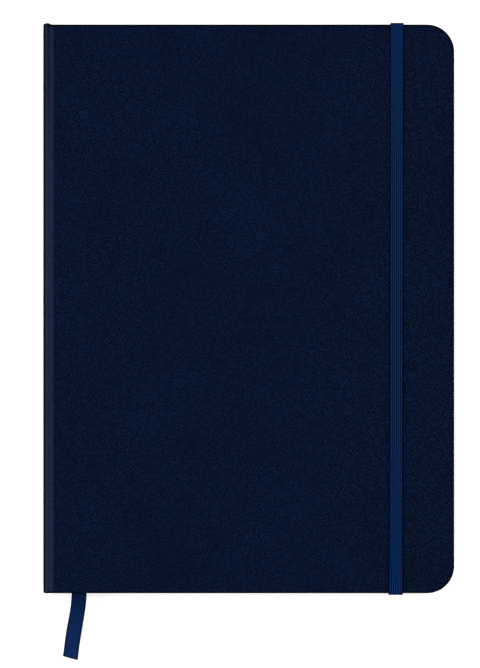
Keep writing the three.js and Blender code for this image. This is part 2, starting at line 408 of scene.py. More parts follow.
def makeLeather():
    # fine pebbled grain in slanting rows; where the shade attribute is below 0, along the turned edges and
    # the spine's outer edge, painted shade darkens the leather, and where it is above 0, on the shoulders,
    # a painted highlight lightens it
    settings = leatherSettings
    surface = Surface("pebbled navy leather")
    place = surface.places.outputs["Object"]
    slanted = surface.stretched(place, (1.0, 1.0, 1.0), turn=settings["grainSlant"])
    pebbles = surface.node("ShaderNodeTexVoronoi", Vector=slanted, Scale=1 / settings["grainSize"],
                           Randomness=settings["grainEvenness"]).outputs["Distance"]
    wrinkles = surface.node("ShaderNodeTexVoronoi", {"feature": "DISTANCE_TO_EDGE"}, Vector=slanted,
                            Scale=0.21 / settings["grainSize"]).outputs["Distance"]
    fine = surface.noise(place, 3600.0, 3.0, 0.6)
    patches = surface.noise(place, 38.0, 5.0, 0.62)
    dome = surface.math("SUBTRACT", 1.12, surface.math("MULTIPLY", pebbles, 1.55), clamp=True)
    fold = surface.math("MULTIPLY", wrinkles, 5.0, clamp=True)
    level = surface.math("MULTIPLY", dome, surface.spread(fold, 0.78, 1.0))
    level = surface.math("ADD", level, surface.spread(fine, -0.20, 0.20))
    level = surface.math("MULTIPLY", level, surface.spread(patches, 0.72, 1.30), clamp=True)
    grain = surface.ramp(
        level, [(0.16, settings["deep"]), (0.48, settings["body"]), (0.86, settings["peak"])])
    height = surface.math("ADD", surface.math("MULTIPLY", fold, 0.5), dome)
    height = surface.math("ADD", height, surface.math("MULTIPLY", fine, 0.2))
    shade = surface.node("ShaderNodeAttribute", {"attribute_name": "shade"}).outputs["Fac"]
    # painted highlight: the shoulder colour is mixed in where shade is above 0, most on the pebble tops
    paintedHighlightMask = surface.math("MULTIPLY", surface.math("MAXIMUM", shade, 0.0), surface.spread(level, 0.55, 1.0))
    wearAndHighlight = surface.mixed(paintedHighlightMask, grain, colour(*settings["shoulderHighlight"]))
    # painted shade: the dark edge colour is mixed in where shade is below 0, and the roughness rises there
    # to damp the reflection
    dark = surface.math("MAXIMUM", surface.math("MULTIPLY", shade, -1.0), 0.0)
    tint = surface.mixed(dark, wearAndHighlight, colour(*settings["edge"]))
    low, high = settings["roughness"]
    return surface.finish(
        Base_Color=tint,
        Roughness=surface.math("MAXIMUM", surface.spread(fine, low, high), dark),
        Normal=surface.bumped(height, settings["grainDepth"], 0.7),
        IOR=settings["refraction"],
        Specular_Tint=colour(0.7, 0.8, 1.0),
    )


def makeGreyBoard():
    surface = Surface("grey board")
    place = surface.places.outputs["Object"]
    flecks = surface.noise(place, 900.0, 6.0, 0.7)
    tint = surface.ramp(flecks, [(0.35, (0.21, 0.19, 0.16)), (0.65, (0.36, 0.33, 0.28))])
    return surface.finish(Base_Color=tint, Roughness=0.95, Normal=surface.bumped(flecks, 0.05 * mm, 0.6))


def makeEndPaper():
    surface = Surface("ivory endpaper")
    place = surface.places.outputs["Object"]
    fibres = surface.noise(surface.stretched(place, (1, 0.35, 1), 8), 2600.0, 4.0, 0.6)
    clouds = surface.noise(place, 45.0, 3.0)
    tint = surface.ramp(clouds, [(0.3, (0.62, 0.575, 0.465)), (0.7, (0.64, 0.595, 0.485))])
    flecked = surface.mixed(surface.spread(fibres, 0.0, 0.10), tint, colour(0.52, 0.45, 0.33))
    return surface.finish(Base_Color=flecked, Roughness=0.86, Normal=surface.bumped(fibres, 0.02 * mm, 0.5))


pageSettings = {
    "rowPitch": 7.0,
    "ruleWidth": 0.22,
    "columns": (9, 24, 39, 54, 69, 84, 96, 108, 120),
    "tableTop": 88.0,
    "tableFoot": -94.0,
    "headerRows": 2,
}


def makePagePaper():
    # uncoated cream paper, ruled as a blank log table with no lettering
    settings = pageSettings
    surface = Surface("ruled page paper")
    place = surface.places.outputs["Object"]
    flat = surface.node("ShaderNodeUVMap", {"uv_map": "flat"}).outputs["UV"]
    split = surface.node("ShaderNodeSeparateXYZ", Vector=flat)
    across, along = split.outputs["X"], split.outputs["Y"]
    fibres = surface.noise(surface.stretched(place, (1, 0.4, 1), 5), 2200.0, 4.0, 0.6)
    clouds = surface.noise(place, 60.0, 2.0)
    paper = surface.ramp(clouds, [(0.3, (0.61, 0.575, 0.48)), (0.7, (0.66, 0.625, 0.53))])
    gutterX = sectionLow.x / mm
    left = gutterX + settings["columns"][0]
    right = gutterX + 140.0
    half = settings["ruleWidth"] / 2

    def near(value, target, reach):
        away = surface.math("ABSOLUTE", surface.math("SUBTRACT", value, target))
        return surface.math("LESS_THAN", away, reach)

    def between(value, low, high):
        above = surface.math("GREATER_THAN", value, low)
        below = surface.math("LESS_THAN", value, high)
        return surface.math("MULTIPLY", above, below)

    inWidth = between(across, left - half, right + half)
    inHeight = between(along, settings["tableFoot"] - half, settings["tableTop"] + half)
    fromFoot = surface.math("SUBTRACT", along, settings["tableFoot"])
    step = surface.math("DIVIDE", fromFoot, settings["rowPitch"])
    toRule = surface.math("PINGPONG", step, 0.5)
    rows = surface.math("LESS_THAN", toRule, half / settings["rowPitch"])
    columns = near(across, right, half * 1.6)
    for column in settings["columns"]:
        columns = surface.math("MAXIMUM", columns, near(across, gutterX + column, half))
    rules = surface.math("MULTIPLY", surface.math("MAXIMUM", rows, columns),
                         surface.math("MULTIPLY", inWidth, inHeight))
    headFoot = settings["tableTop"] - settings["headerRows"] * settings["rowPitch"]
    header = surface.math("MULTIPLY", between(along, headFoot, settings["tableTop"]), inWidth)
    banded = surface.mixed(surface.math("MULTIPLY", header, 0.35), paper, colour(0.42, 0.52, 0.60))
    printed = surface.mixed(surface.math("MULTIPLY", rules, 0.75), banded, colour(0.13, 0.22, 0.34))
    return surface.finish(Base_Color=printed, Roughness=0.88, Normal=surface.bumped(fibres, 0.02 * mm, 0.5))


def makeKraft():
    surface = Surface("kraft liner")
    place = surface.places.outputs["Object"]
    ribs = surface.noise(surface.stretched(place, (1, 1, 6)), 500.0, 3.0)
    tint = surface.ramp(ribs, [(0.3, (0.36, 0.23, 0.12)), (0.7, (0.48, 0.33, 0.19))])
    return surface.finish(Base_Color=tint, Roughness=0.93, Normal=surface.bumped(ribs, 0.03 * mm, 0.6))


def makeWeave(name, pale, dark, pitch, depth):
    surface = Surface(name)
    place = surface.places.outputs["Object"]
    split = surface.node("ShaderNodeSeparateXYZ", Vector=place)
    lengthwise = surface.math("SINE", surface.math("MULTIPLY", split.outputs["Y"], math.tau / pitch))
    upright = surface.math("SINE", surface.math("MULTIPLY", split.outputs["Z"], math.tau / pitch))
    threads = surface.math("MAXIMUM", lengthwise, upright)
    tint = surface.ramp(surface.spread(threads, 0.0, 1.0), [(0.2, dark), (0.8, pale)])
    return surface.finish(Base_Color=tint, Roughness=0.95, Normal=surface.bumped(threads, depth, 0.7))


bandSettings = {"stripe": 1.5 * mm, "navy": (0.010, 0.022, 0.090), "cream": (0.72, 0.68, 0.56)}


def makeBandSilk():
    settings = bandSettings
    surface = Surface("striped headband")
    place = surface.places.outputs["Object"]
    height = surface.node("ShaderNodeSeparateXYZ", Vector=place).outputs["Z"]
    turns = surface.math("PINGPONG", surface.math("DIVIDE", height, settings["stripe"]), 0.5)
    stripe = surface.math("GREATER_THAN", turns, 0.25)
    fibres = surface.noise(surface.stretched(place, (1, 1, 8)), 2500.0, 3.0)
    tint = surface.mixed(stripe, colour(*settings["navy"]), colour(*settings["cream"]))
    wearAndHighlight = surface.mixed(surface.spread(fibres, 0.0, 0.25), tint, colour(0.25, 0.24, 0.24))
    return surface.finish(Base_Color=wearAndHighlight, Roughness=0.7, Normal=surface.bumped(fibres, 0.03 * mm, 0.6))


elasticFinish = {
    "bright": (0.0020, 0.0190, 0.0830),
    "dark": (0.0001, 0.0010, 0.0070),
    # edge is the painted shade colour for the sides of the braid and the bends at its ends
    "edge": (0.0002, 0.0010, 0.0050),
}


def makeElasticBraid():
    surface = Surface("navy elastic braid")
    flat = surface.node("ShaderNodeUVMap", {"uv_map": "flat"}).outputs["UV"]
    split = surface.node("ShaderNodeSeparateXYZ", Vector=flat)
    across, along = split.outputs["X"], split.outputs["Y"]
    # the colour follows the ribs: darker in their grooves and lighter on their crests, painted shade and
    # highlight
    rib = surface.math("PINGPONG", across, 0.5)
    slanted = surface.math("ADD", along, surface.math("MULTIPLY", rib, 1.4))
    ticks = surface.math("SINE", surface.math("MULTIPLY", slanted, 11.0))
    fuzz = surface.noise(surface.places.outputs["Object"], 3000.0, 3.0)
    raised = surface.math("ADD", surface.math("MULTIPLY", ticks, 0.08), surface.math("MULTIPLY", fuzz, 0.2))
    texture = surface.math("SUBTRACT", raised, 0.1)
    level = surface.math("ADD", surface.math("MULTIPLY", rib, 2.0), texture, clamp=True)
    tint = surface.ramp(level, [(0.20, elasticFinish["dark"]), (0.80, elasticFinish["bright"])])
    # painted shade along both sides of the braid, and where the shade attribute is below 0, on the bends at
    # its ends
    toSide = surface.math("SUBTRACT", surface.math("ABSOLUTE", across), 2.95)
    side = surface.math("MULTIPLY", surface.math("MAXIMUM", toSide, 0.0), 5.0, clamp=True)
    shade = surface.node("ShaderNodeAttribute", {"attribute_name": "shade"}).outputs["Fac"]
    dark = surface.math("MAXIMUM", side, surface.math("MULTIPLY", shade, -1.0), clamp=True)
    shaded = surface.mixed(surface.math("MULTIPLY", dark, 0.85), tint, colour(*elasticFinish["edge"]))
    return surface.finish(
        Base_Color=shaded,
        Roughness=surface.spread(fuzz, 0.66, 0.84),
        Normal=surface.bumped(raised, 0.05 * mm, 0.7),
        Specular_IOR_Level=0.03,
        Specular_Tint=colour(0.4, 0.6, 1.0),
    )


ribbonFinish = {
    "dark": (0.0005, 0.0055, 0.0330),
    "light": (0.0014, 0.0105, 0.0540),
    # the third colour is the painted light on the hanging end
    "paintedLitEnd": (0.0036, 0.0190, 0.0780),
    "selvedge": (0.0003, 0.0022, 0.0120),
}


def makeRibbonSatin():
    # fine crosswise threads between two darker selvedges, with painted light making it paler towards the
    # end that hangs out of the book
    surface = Surface("navy satin ribbon")
    flat = surface.node("ShaderNodeUVMap", {"uv_map": "flat"}).outputs["UV"]
    split = surface.node("ShaderNodeSeparateXYZ", Vector=flat)
    across, along = split.outputs["X"], split.outputs["Y"]
    threads = surface.math("SINE", surface.math("MULTIPLY", along, math.tau / 0.28))
    streaks = surface.noise(surface.stretched(flat, (2.5, 0.05, 1)), 1.6, 3.0)
    level = surface.math("ADD", surface.math("MULTIPLY", threads, 0.08), streaks, clamp=True)
    satin = surface.ramp(level, [(0.3, ribbonFinish["dark"]), (0.75, ribbonFinish["light"])])
    # painted light: paler over the last 26 mm of the hanging end
    endLightShare = surface.math("SUBTRACT", 1.0, surface.math("DIVIDE", along, 26.0), clamp=True)
    paintedLitEnd = surface.mixed(surface.math("MULTIPLY", endLightShare, 0.75), satin, colour(*ribbonFinish["paintedLitEnd"]))
    toSide = surface.math("SUBTRACT", surface.math("ABSOLUTE", across), 2.25)
    toCut = surface.math("SUBTRACT", 0.5, along)
    edge = surface.math("MULTIPLY", surface.math("MAXIMUM", toSide, toCut), 5.0, clamp=True)
    tint = surface.mixed(edge, paintedLitEnd, colour(*ribbonFinish["selvedge"]))
    return surface.finish(
        Base_Color=tint,
        Roughness=0.6,
        Normal=surface.bumped(threads, 0.02 * mm, 0.5),
        Specular_IOR_Level=0.04,
        Specular_Tint=colour(0.4, 0.6, 1.0),
    )


leather = makeLeather()
greyBoard = makeGreyBoard()
endPaper = makeEndPaper()
pagePaper = makePagePaper()
kraftPaper = makeKraft()
mullCloth = makeWeave("open spine cloth", (0.74, 0.71, 0.63), (0.46, 0.42, 0.34), 1.1 * mm, 0.1 * mm)
linenThread = makeWeave("linen thread", (0.74, 0.69, 0.55), (0.50, 0.45, 0.33), 0.35 * mm, 0.08 * mm)
bandSilk = makeBandSilk()
elasticBraid = makeElasticBraid()
ribbonSatin = makeRibbonSatin()
print("finishes made")

# Ribbon marker
# the centre line, in millimetres: glued at the head of the spine, slantwise down the pages, out at the tail
ribbonSettings = {
    "width": 5.7 * mm,
    "thickness": 0.26 * mm,
    "columns": 12,
    "rows": 260,
    "endSlant": 0.9 * mm,
    "cup": 0.18 * mm,
    "sideShift": -0.025 * mm,
}
ribbonRoute = [
    (-70, 103, 8.88), (-69.8, 90, 8.88), (-69.4, 70, 8.88), (-68.9, 50, 8.88),
    (-68.3, 30, 8.88), (-67.6, 10, 8.88), (-66.8, -10, 8.88), (-66, -30, 8.88),
    (-65.2, -50, 8.88), (-64.5, -70, 8.88), (-64, -88, 8.88), (-63.8, -98, 8.88),
    (-63.75, -104.5, 8.86), (-63.85, -108, 8.38), (-64.1, -111.2, 7.28),
    (-64.5, -114.2, 5.68), (-65, -117, 3.98), (-65.5, -119.8, 2.48),
    (-66, -122.6, 1.4), (-66.45, -125.6, 0.66), (-66.85, -128.7, 0.36), (-67.2, -131.7, 0.3),
]


def smoothLine(points, count):
    # evenly spaced places on a smooth curve through the points
    fine = []
    steps = 40
    for index in range(len(points) - 1):
        a = points[max(index - 1, 0)]
        b, c = points[index], points[index + 1]
        d = points[min(index + 2, len(points) - 1)]
        for step in range(steps):
            t = step / steps
            fine.append(0.5 * ((2 * b) + (c - a) * t + (2 * a - 5 * b + 4 * c - d) * t * t
                               + (3 * b - a - 3 * c + d) * t ** 3))
    fine.append(points[-1])
    travelled = [0.0]
    for before, after in zip(fine, fine[1:]):
        travelled.append(travelled[-1] + (after - before).length)
    line = []
    at = 0
    for index in range(count + 1):
        wanted = travelled[-1] * index / count
        while at < len(fine) - 2 and travelled[at + 1] < wanted:
            at += 1
        share = (wanted - travelled[at]) / max(travelled[at + 1] - travelled[at], 1e-12)
        line.append(fine[at].lerp(fine[at + 1], min(max(share, 0.0), 1.0)))
    return line, travelled[-1]


def makeRibbon():
    settings = ribbonSettings
    offset = Vector((cadLow.x + cadHigh.x, 0, 0)) / 2 + Vector((settings["sideShift"], 0, 0))
    points = [Vector(point) * mm + offset for point in ribbonRoute]
    line, length = smoothLine(points, settings["rows"])
    deselectAll()
    bpy.ops.mesh.primitive_grid_add(
        x_subdivisions=settings["columns"], y_subdivisions=settings["rows"], size=1)
    ribbon = namePiece("ribbon_strip")
    layer = ribbon.data.uv_layers.active or ribbon.data.uv_layers.new()
    layer.name = "flat"
    for loop in ribbon.data.loops:
        place = ribbon.data.vertices[loop.vertex_index].co
        layer.data[loop.index].uv = (place.x * settings["width"] / mm, (0.5 + place.y) * length / mm)
    for vert in ribbon.data.vertices:
        row = (0.5 - vert.co.y) * settings["rows"]
        index = min(int(round(row)), settings["rows"])
        here = line[index]
        ahead = line[min(index + 1, settings["rows"])] - line[max(index - 1, 0)]
        side = Vector((0, 0, 1)).cross(ahead.normalized()) * -1
        side.normalize()
        up = side.cross(ahead.normalized()) * -1
        if up.z < 0:
            up = -up
        across = vert.co.x * settings["width"]
        slant = settings["endSlant"] * vert.co.x * max(0.0, row / settings["rows"] - 0.99) / 0.01
        hanging = min(max((row / settings["rows"] - 0.92) / 0.04, 0), 1)
        cup = settings["cup"] * (1 - (2 * vert.co.x) ** 2) * hanging
        vert.co = here + side * across + up * cup - ahead.normalized() * slant
    tidyNormals(ribbon)
    finishWith(ribbon, "SOLIDIFY", thickness=settings["thickness"], offset=0.0)
    smoothByAngle(ribbon, 40)
    dress(ribbon, ribbonSatin)
    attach(ribbon, "text_block")
    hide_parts("ribbon_marker")
    return length


ribbonLength = makeRibbon()
print("ribbon made, millimetres long:", round(ribbonLength / mm, 1))

# Cover leather
caseSettings = {
    "thickness": 0.4 * mm,
    "cornerRadius": 10.3 * mm,
    "rimRadius": 0.36 * mm,
    "turnIn": 14.0 * mm,
    "supportInset": 0.6 * mm,
    "foldDepth": 0.85 * mm,
    "rollSteps": 14,
    "creaseDepth": 0.22 * mm,
    "creaseWidth": 0.45 * mm,
    "creaseInset": 0.25 * mm,
    "valleyDepth": 0.16 * mm,
    "valleyWidth": 0.55 * mm,
    "valleyInset": 1.8 * mm,
    "capRise": 0.5 * mm,
    "endRadius": 1.1 * mm,
}


def rollAngle(co):
    # 0 at the top of the shoulder, a quarter turn where it meets the flat of the spine
    return math.atan2(rollX - co.x, co.z - rollZ)


def makeCaseHalf(name):
    # one sheet: round over the shoulder of the spine, flat over the board, down its edges and turned in
    settings = caseSettings
    case = addPlane(name, ((rollX + foreX) / 2, 0, coverTop), foreX - rollX, 2 * coverHalf)
    pick(case, "VERT", lambda vert: vert.co.x > 0)
    bpy.ops.mesh.bevel(offset=settings["cornerRadius"], segments=18, affect="VERTICES")
    cutAcross(case, [rollX + step * (boardX - rollX) / 12 for step in range(1, 13)] + [boardX + 2 * mm])
    pick(case, "EDGE", lambda edge: allVerts(edge, lambda co: abs(co.x - rollX) < tiny))
    bpy.ops.mesh.spin(
        steps=settings["rollSteps"], angle=math.pi / 2, center=(rollX, 0, rollZ), axis=(0, 1, 0))

    def onOutline(co):
        return co.x > boardX - tiny and abs(co.z - coverTop) < tiny

    pick(case, "EDGE", lambda edge: edge.is_boundary and allVerts(edge, onOutline))
    bpy.ops.mesh.extrude_edges_move(TRANSFORM_OT_translate={"value": (0, 0, turnInZ - coverTop)})
    bpy.ops.mesh.extrude_edges_move(TRANSFORM_OT_translate={"value": (0, 0, 0)})
    shrinkX = (foreX - boardX - settings["turnIn"]) / (foreX - boardX)
    shrinkY = (coverHalf - settings["turnIn"]) / coverHalf
    bpy.ops.transform.resize(value=(shrinkX, shrinkY, 1), center_override=(boardX, 0, turnInZ))

    def rimLine(edge):
        level = {round(vert.co.z / tiny) for vert in edge.verts}
        onRim = level <= {round(coverTop / tiny)} or level <= {round(turnInZ / tiny)}
        if not onRim or edge.verts[0].co.x < boardX - tiny or edge.verts[1].co.x < boardX - tiny:
            return False
        return len(edge.link_faces) == 2 and edge.calc_face_angle(0) > 1.0

    pick(case, "EDGE", rimLine)
    bpy.ops.mesh.bevel(offset=settings["rimRadius"], segments=4, affect="EDGES")
    pick(case, "FACE", lambda face: face.calc_center_median().x > boardX + 2 * mm and all(
        abs(vert.co.z - coverTop) < 0.002 * mm for vert in face.verts))
    bpy.ops.mesh.inset(thickness=settings["supportInset"], depth=0)
    turnInHinge(case)
    roll = lambda co: co.x < boardX + 2.6 * mm
    near = [coverHalf - away * mm for away in (0.15, 0.4, 0.75, 1.15, 2.2, 4.5, 8.0)]
    spaced = [step * 9 * mm for step in range(-11, 12)]
    cutPart(case, roll, spaced + near + [-place for place in near], (0, 1, 0))
    tidyNormals(case)
    return case


def turnInHinge(case):
    # over the hinge and the shoulder the leather is folded back on itself at the head and tail
    depth = caseSettings["foldDepth"]
    for side in (1, -1):
        end = side * coverHalf
        pick(case, "EDGE", lambda edge: edge.is_boundary and allVerts(
            edge, lambda co: abs(co.y - end) < tiny and co.x < boardX + tiny))
        bpy.ops.mesh.extrude_edges_move(TRANSFORM_OT_translate={"value": (0, 0, 0)})
        mesh = bmesh.from_edit_mesh(case.data)
        for vert in mesh.verts:
            if vert.select:
                if vert.co.x > rollX - tiny:
                    vert.co.z -= depth
                else:
                    vert.co.x = rollX + (vert.co.x - rollX) * (1 - depth / rollRadius)
                    vert.co.z = rollZ + (vert.co.z - rollZ) * (1 - depth / rollRadius)
        bmesh.update_edit_mesh(case.data)
        bpy.ops.mesh.extrude_edges_move(
            TRANSFORM_OT_translate={"value": (0, -side * caseSettings["turnIn"], 0)})


def faceOutwards(piece, place, direction):
    # turns the whole sheet over if the face nearest to the place looks the wrong way
    bpy.ops.object.mode_set(mode="OBJECT")
    face = min(piece.data.polygons, key=lambda polygon: (polygon.center - Vector(place)).length)
    if face.normal.dot(Vector(direction)) < 0:
        pickAll(piece)
        bpy.ops.mesh.flip_normals()
        bpy.ops.object.mode_set(mode="OBJECT")


def headShare(co):
    return 0.2 + 0.8 * smoothStep(co.y, 62 * mm, 92 * mm)


def workShoulder(piece):
    # presses the crease beside the board, the shallow valley along the shoulder, the head cap and soft ends
    settings = caseSettings
    for vert in piece.data.vertices:
        co = vert.co
        angle = rollAngle(co)
        away = (co.x - rollX + settings["creaseInset"]) / settings["creaseWidth"]
        if abs(away) < 3 and co.z > rollZ + rollRadius * 0.7:
            co.z -= settings["creaseDepth"] * math.exp(-away * away)
        if co.x > rollX - tiny or co.z < rollZ - tiny:
            continue
        across = (co.x - rollX + settings["valleyInset"]) / settings["valleyWidth"]
        valley = settings["valleyDepth"] * math.exp(-across * across) * headShare(co)
        fromEnd = max(0.0, settings["endRadius"] - (coverHalf - abs(co.y)))
        rounding = settings["endRadius"] - math.sqrt(max(settings["endRadius"] ** 2 - fromEnd ** 2, 0.0))
        rounding *= smoothStep(angle, 0.5, 1.2) * 0.8
        out = Vector((co.x - rollX, 0, co.z - rollZ)).normalized()
        vert.co -= out * (valley + rounding)
        if co.y > coverHalf - 9.5 * mm:
            rise = smoothStep(rollX - co.x, 0.9 * mm, 1.5 * mm) * (1 - smoothStep(angle, 1.35, 1.57))
            near = smoothStep(co.y, coverHalf - 6 * mm, coverHalf)
            vert.co.y += settings["capRise"] * rise * near


def caseShade(co):
    # painted shade and highlight for the case leather: below 0 darkens the rims near the top and the outer
    # edge of the shoulder, above 0 lightens the shoulder band, less so in the valley near the head
    settings = caseSettings
    radius = settings["cornerRadius"]
    overX, overY = co.x - (foreX - radius), abs(co.y) - (coverHalf - radius)
    if overX > 0 and overY > 0:
        inset = radius - math.hypot(overX, overY)
    else:
        inset = min(foreX - co.x, coverHalf - abs(co.y))
    nearTop = 0.35 + 0.65 * smoothStep(co.z, coverTop - 1.0 * mm, coverTop - 0.6 * mm)
    dark = (1 - smoothStep(inset, 0.36 * mm, 0.95 * mm)) * nearTop
    if co.x > rollX + 1 * mm:
        return -dark
    angle = rollAngle(co)
    pale = smoothStep(rollX - co.x, -0.35 * mm, 0.4 * mm) * (1 - smoothStep(angle, 0.90, 1.0))
    across = (co.x - rollX + settings["valleyInset"]) / (0.7 * mm)
    pale *= 1 - 0.85 * math.exp(-across * across) * headShare(co)
    outline = smoothStep(angle, 0.93, 1.0) * (1 - smoothStep(rollZ - co.z, -0.4 * mm, 0.6 * mm))
    return pale * (1 - dark) * 0.95 - max(dark, outline)


frontCase = makeCaseHalf("front_case_leather")
faceOutwards(frontCase, (0, 0, coverTop), (0, 0, 1))
workShoulder(frontCase)
finishWith(frontCase, "SOLIDIFY", thickness=caseSettings["thickness"], offset=-1.0)
paintShade(frontCase, caseShade)
smoothByAngle(frontCase, 40)
backCase = turnOver(frontCase, "back_case_leather")


def notchForAnchors(piece):
    # the turn-in is slit where the ends of the elastic are glued down
    for side in (1, -1):
        low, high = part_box("elastic_head_anchor" if side > 0 else "elastic_tail_anchor")
        room = Vector((0.06, 0.9, 0.02)) * mm
        knife = addBlock("knife", low - room, high + room + Vector((0, 0, 0.5 * mm)))
        makeActive(piece)
        cut = piece.modifiers.new("Notch", "BOOLEAN")
        cut.operation = "DIFFERENCE"
        cut.object = knife
        bpy.ops.object.modifier_apply(modifier=cut.name)
        bpy.data.objects.remove(knife)


notchForAnchors(backCase)


def hangCase(piece, replaced):
    smoothByAngle(piece, 40)
    dress(piece, leather)
    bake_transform(piece)
    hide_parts(*replaced)


hangCase(frontCase, ["front_skin", "front_joint_skin"])
hangCase(backCase, ["back_skin", "back_joint_skin"])
print("case leather made")

# Spine leather with its head cap
spineSettings = {"thickness": 0.4 * mm, "turnIn": 9 * mm, "capRise": 0.5 * mm, "capReach": 5 * mm}


def makeSpineLeather():
    settings = spineSettings
    low = Vector((spineLow.x, -coverHalf, coverTop - rollZ))
    high = Vector((spineLow.x, coverHalf, rollZ))
    height = high.z - low.z
    deselectAll()
    bpy.ops.mesh.primitive_grid_add(x_subdivisions=12, y_subdivisions=60, size=1)
    spine = namePiece("spine_leather")
    for vert in spine.data.vertices:
        up, along = vert.co.x, vert.co.y * 2
        vert.co = Vector((low.x, along * coverHalf, (low.z + high.z) / 2 + up * height))
    pick(spine, "EDGE", lambda edge: allVerts(edge, lambda co: abs(abs(co.y) - coverHalf) < tiny))
    bpy.ops.mesh.extrude_edges_move(TRANSFORM_OT_translate={"value": (1.25 * mm, 0, 0)})
    bpy.ops.mesh.extrude_edges_move(TRANSFORM_OT_translate={"value": (0, 0, 0)})
    shrink = (coverHalf - settings["turnIn"]) / coverHalf
    bpy.ops.transform.resize(value=(1, shrink, 1), center_override=(low.x, 0, bookMiddle))
    pick(spine, "EDGE", lambda edge: not edge.is_boundary and len(edge.link_faces) == 2
         and edge.calc_face_angle(0) > 1.0)
    bpy.ops.mesh.bevel(offset=0.5 * mm, segments=3, affect="EDGES")
    tidyNormals(spine)
    faceOutwards(spine, (low.x, 0, bookMiddle), (-1, 0, 0))
    for vert in spine.data.vertices:
        near = max(0.0, 1 - (coverHalf - vert.co.y) / settings["capReach"]) if vert.co.y > 0 else 0.0
        middle = max(0.0, 1 - ((vert.co.z - bookMiddle) / (height / 2)) ** 2)
        vert.co.y += settings["capRise"] * near * middle ** 0.5
    finishWith(spine, "SOLIDIFY", thickness=settings["thickness"], offset=-1.0)
    # painted shade darkening the spine leather at its head and tail ends
    paintShade(spine, lambda co: -0.6 * smoothStep(abs(co.y), coverHalf - 0.8 * mm, coverHalf - 0.2 * mm))
    smoothByAngle(spine, 40)
    dress(spine, leather)
    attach(spine, "text_block")
    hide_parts("spine_skin")


makeSpineLeather()
print("spine leather made")

# Endpapers
paperSettings = {
    "cornerRadius": 7.3 * mm,
    "stepInset": 13.4 * mm,
    "stepSlope": 0.6 * mm,
    "stepDepth": 0.30 * mm,
    "thickness": 0.16 * mm,
    "leafCorner": 8.3 * mm,
    "leafThickness": 0.14 * mm,
}


def makePastedown(name):
    # glued over the turn-ins, and stepping down on to the board inside them
    settings = paperSettings
    low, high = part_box("front_pastedown")
    level = high.z - 0.02 * mm
    left = rollX + 0.15 * mm
    paper = addPlane(name, ((left + high.x) / 2, 0, level), high.x - left, 2 * high.y)
    pick(paper, "VERT", lambda vert: vert.co.x > 0)
    bpy.ops.mesh.bevel(offset=settings["cornerRadius"], segments=12, affect="VERTICES")
    outer, inner = settings["stepInset"], settings["stepInset"] + settings["stepSlope"]
    hingeLines = [left + step * (boardX - left) / 8 for step in range(1, 9)]
    cutAcross(paper, hingeLines + [high.x - inner, high.x - outer])
    cutAcross(paper, [side * (high.y - inset) for inset in (outer, inner) for side in (1, -1)], (0, 1, 0))
    tidyNormals(paper)
    faceOutwards(paper, (0, 0, level), (0, 0, -1))
    for vert in paper.data.vertices:
        if vert.co.x < high.x - inner + tiny and abs(vert.co.y) < high.y - inner + tiny:
            vert.co.z += settings["stepDepth"] * smoothStep(vert.co.x, left, boardX)
    finishWith(paper, "SOLIDIFY", thickness=settings["thickness"], offset=-1.0)
    smoothByAngle(paper, 30)
    return paper


def makeFlyleaf(name, node):
    low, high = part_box(node)
    leaf = addPlane(name, ((low.x + high.x) / 2, 0, (low.z + high.z) / 2), high.x - low.x, 2 * high.y)
    pick(leaf, "VERT", lambda vert: vert.co.x > 0)
    bpy.ops.mesh.bevel(offset=paperSettings["leafCorner"], segments=12, affect="VERTICES")
    cutAcross(leaf, [low.x + step * 1.5 * mm for step in range(1, 24)])
    tidyNormals(leaf)
    finishWith(leaf, "SOLIDIFY", thickness=paperSettings["leafThickness"], offset=0.0)
    smoothByAngle(leaf, 30)
    dress(leaf, endPaper)
    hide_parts(node)
    return leaf


frontPastedown = makePastedown("front_pastedown_paper")
backPastedown = turnOver(frontPastedown, "back_pastedown_paper")
for paper, body, node in ((frontPastedown, "front_cover", "front_pastedown"),
                          (backPastedown, "back_cover", "back_pastedown")):
    dress(paper, endPaper)
    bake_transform(paper)
    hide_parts(node)

frontFlyleaf = makeFlyleaf("front_flyleaf_paper", "front_flyleaf")
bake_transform(frontFlyleaf)
backFlyleaf = makeFlyleaf("back_flyleaf_paper", "back_flyleaf")
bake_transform(backFlyleaf)
print("endpapers made")

# Page sections
sectionSettings = {
    "sheets": 4,
    "leafThickness": 0.088 * mm,
    "leafPitch": 0.105 * mm,
    "cornerRadius": 8.3 * mm,
    "bendLines": 22,
    "bendPitch": 2.0 * mm,
    "unevenness": 0.14 * mm,
    "seed": 7,
    "closing": 0.19 * mm,
}


def makeSheet(name, halfHeight, fore, head, tail):
    # one sheet folded round the middle of its section: two leaves joined at the spine
    settings = sectionSettings
    radius = (sectionHigh.z - sectionLow.z) / 2
    foldX = sectionLow.x + radius
    sheet = addPlane(name, ((foldX + fore) / 2, (head + tail) / 2, halfHeight), fore - foldX, head - tail)
    pick(sheet, "VERT", lambda vert: vert.co.x > 0)
    bpy.ops.mesh.bevel(offset=settings["cornerRadius"], segments=10, affect="VERTICES")
    bends = range(settings["bendLines"])
    cutAcross(sheet, [foldX + (step + 0.5) * settings["bendPitch"] for step in bends])
    pick(sheet, "EDGE", lambda edge: allVerts(edge, lambda co: abs(co.x - foldX) < tiny))
    bpy.ops.mesh.spin(steps=5, angle=math.pi / 2, center=(foldX, 0, 0), axis=(0, 1, 0))
    finishWith(sheet, "MIRROR", use_axis=(False, False, True), use_clip=True, merge_threshold=0.001 * mm)
    tidyNormals(sheet)
    faceOutwards(sheet, (0, 0, halfHeight), (0, 0, 1))
    finishWith(sheet, "SOLIDIFY", thickness=settings["leafThickness"], offset=0.0)
    return sheet


